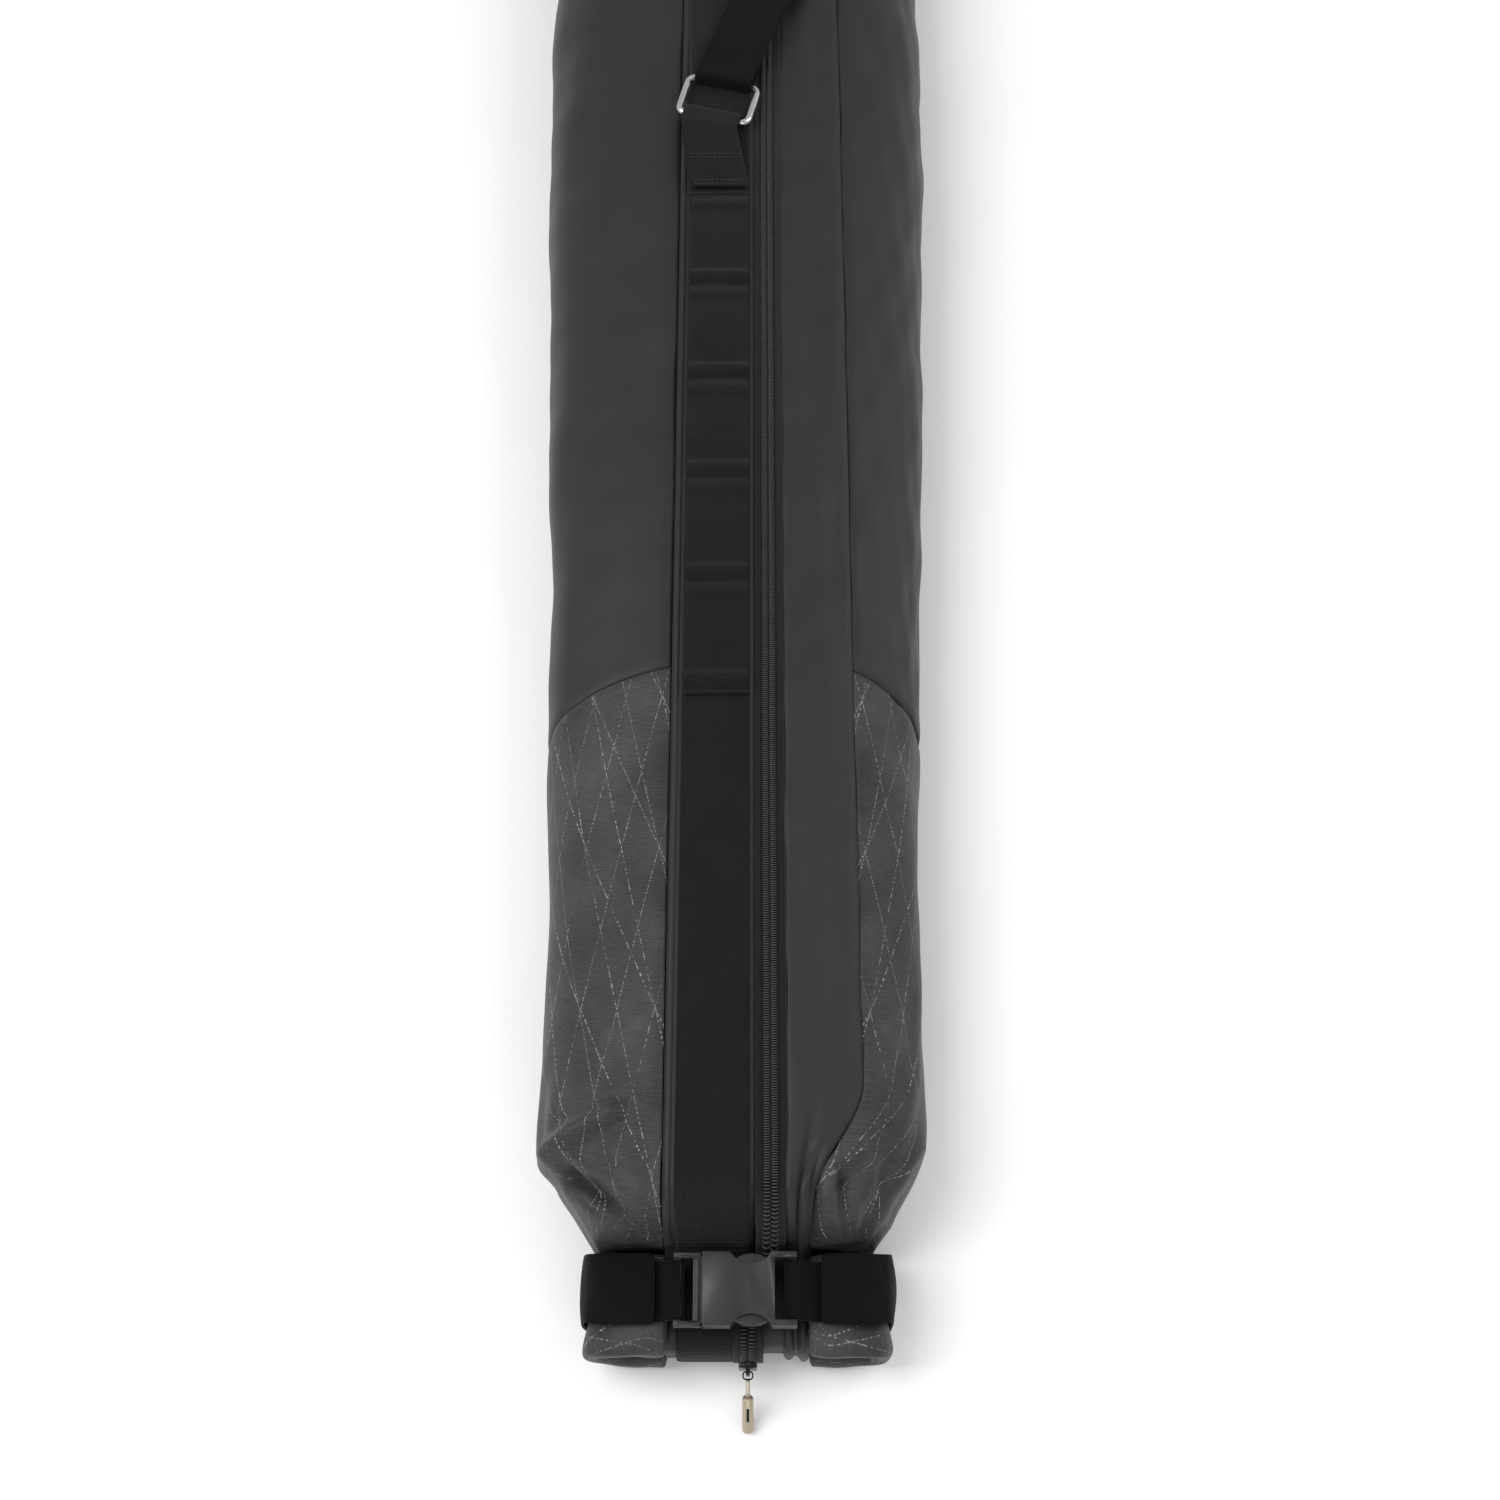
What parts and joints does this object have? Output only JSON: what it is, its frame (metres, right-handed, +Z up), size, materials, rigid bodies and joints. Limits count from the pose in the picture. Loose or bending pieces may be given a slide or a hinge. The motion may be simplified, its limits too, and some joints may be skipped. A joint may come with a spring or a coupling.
{
  "type": "ski bag",
  "caption": "Long padded ski bag lying on its back, roll-top end closed by a side-release buckle, full-length zip, webbing spine and removable-style shoulder strap on rings.",
  "frame": {"origin": "centre of the bag's footprint, on the surface it lies on", "axes": "+Y from the rolled closure to the far end, +X across the bag to the zip's right side, +Z up out of the front"},
  "size_m": [0.3356, 1.911, 0.1679],
  "materials": {
    "charcoal_fabric": "matte",
    "laminate_fabric": "matte heathered weave with a thin slanted grid",
    "black_webbing": "ribbed webbing",
    "padded_fabric": "matte",
    "foam": "soft foam",
    "black_plastic": "satin",
    "dark_metal": "satin",
    "satin_steel": "satin",
    "cream_cord": "matte",
    "gold_plastic": "satin",
    "stiff_board": "matte"
  },
  "bodies": {
    "bag": {"back_padding": "foam", "back_panel": "charcoal_fabric", "buckle_female": "black_plastic", "buckle_strap_left": "black_webbing", "buckle_strap_right": "black_webbing", "closure_tab_left": "black_webbing", "closure_tab_right": "black_webbing", "daisy_webbing": "black_webbing", "far_end_panel": "charcoal_fabric", "front_webbing": "black_webbing", "left_lower_panel": "laminate_fabric", "left_upper_panel": "charcoal_fabric", "right_lower_panel": "laminate_fabric", "right_upper_panel": "charcoal_fabric", "ring_tab_lower": "black_webbing", "ring_tab_upper": "black_webbing", "roll_core": "laminate_fabric", "roll_end_left": "laminate_fabric", "roll_end_right": "laminate_fabric", "roll_stiffener": "stiff_board", "seam_piping": "black_webbing", "shoulder_strap": "black_webbing", "webbing_backing": "charcoal_fabric", "zip_coil_left": "black_plastic", "zip_coil_right": "black_plastic", "zip_end_stop": "dark_metal", "zip_side_band": "charcoal_fabric", "zip_tape_left": "black_webbing", "zip_tape_right": "black_webbing"},
    "male": {"buckle_male": "black_plastic"},
    "prong_upper": {"buckle_prong_upper": "black_plastic"},
    "prong_lower": {"buckle_prong_lower": "black_plastic"},
    "slider": {"zip_slider": "dark_metal"},
    "pull": {"pull_loop": "black_plastic", "pull_stem": "cream_cord", "pull_barrel": "gold_plastic"},
    "ring_low": {"ring_lower": "satin_steel"},
    "ring_high": {"ring_upper": "satin_steel"},
    "pad": {"shoulder_pad": "padded_fabric"},
    "adjuster": {"strap_adjuster": "black_plastic"}
  },
  "joints": [
    {"name": "buckle_release", "type": "slide", "parent": "bag", "child": "male", "axis": [-1, 0, 0], "range_m": [0, 0.03], "deforming": ["buckle_strap_left"]},
    {"name": "prong_upper_press", "type": "hinge", "parent": "male", "child": "prong_upper", "pos_m": [-0.0125, -0.85352, 0.0773], "axis": [0, 0, -1], "range_deg": [0, 12.1]},
    {"name": "prong_lower_press", "type": "hinge", "parent": "male", "child": "prong_lower", "pos_m": [-0.0125, -0.88652, 0.0773], "axis": [0, 0, 1], "range_deg": [0, 12.1]},
    {"name": "zip_slide", "type": "slide", "parent": "bag", "child": "slider", "axis": [0, 0, 1], "range_m": [-0.006, 0.004]},
    {"name": "pull_swing", "type": "hinge", "parent": "slider", "child": "pull", "pos_m": [0.0108, -0.91702, 0.03075], "axis": [-1, 0, 0], "range_deg": [-40, 70]},
    {"name": "ring_low_tilt", "type": "hinge", "parent": "bag", "child": "ring_low", "pos_m": [-0.01991, 0.09578, 0.15773], "axis": [0.9703, -0.2419, 0], "range_deg": [0, 5.5]},
    {"name": "ring_high_tilt", "type": "hinge", "parent": "bag", "child": "ring_high", "pos_m": [-0.01991, 0.80518, 0.14381], "axis": [-0.9703, -0.2419, 0], "range_deg": [0, 5.5]},
    {"name": "pad_slide", "type": "slide", "parent": "bag", "child": "pad", "axis": [0, 1, 0], "range_m": [-0.02, 0.02]},
    {"name": "adjuster_slide", "type": "slide", "parent": "bag", "child": "adjuster", "axis": [0.3256, -0.9455, 0], "range_m": [-0.012, 0.012]}
  ],
  "couplings": [
    {"joint": "prong_upper_press", "follows": "buckle_release", "rad_per_m": 6.98},
    {"joint": "prong_lower_press", "follows": "buckle_release", "rad_per_m": 6.98}
  ]
}
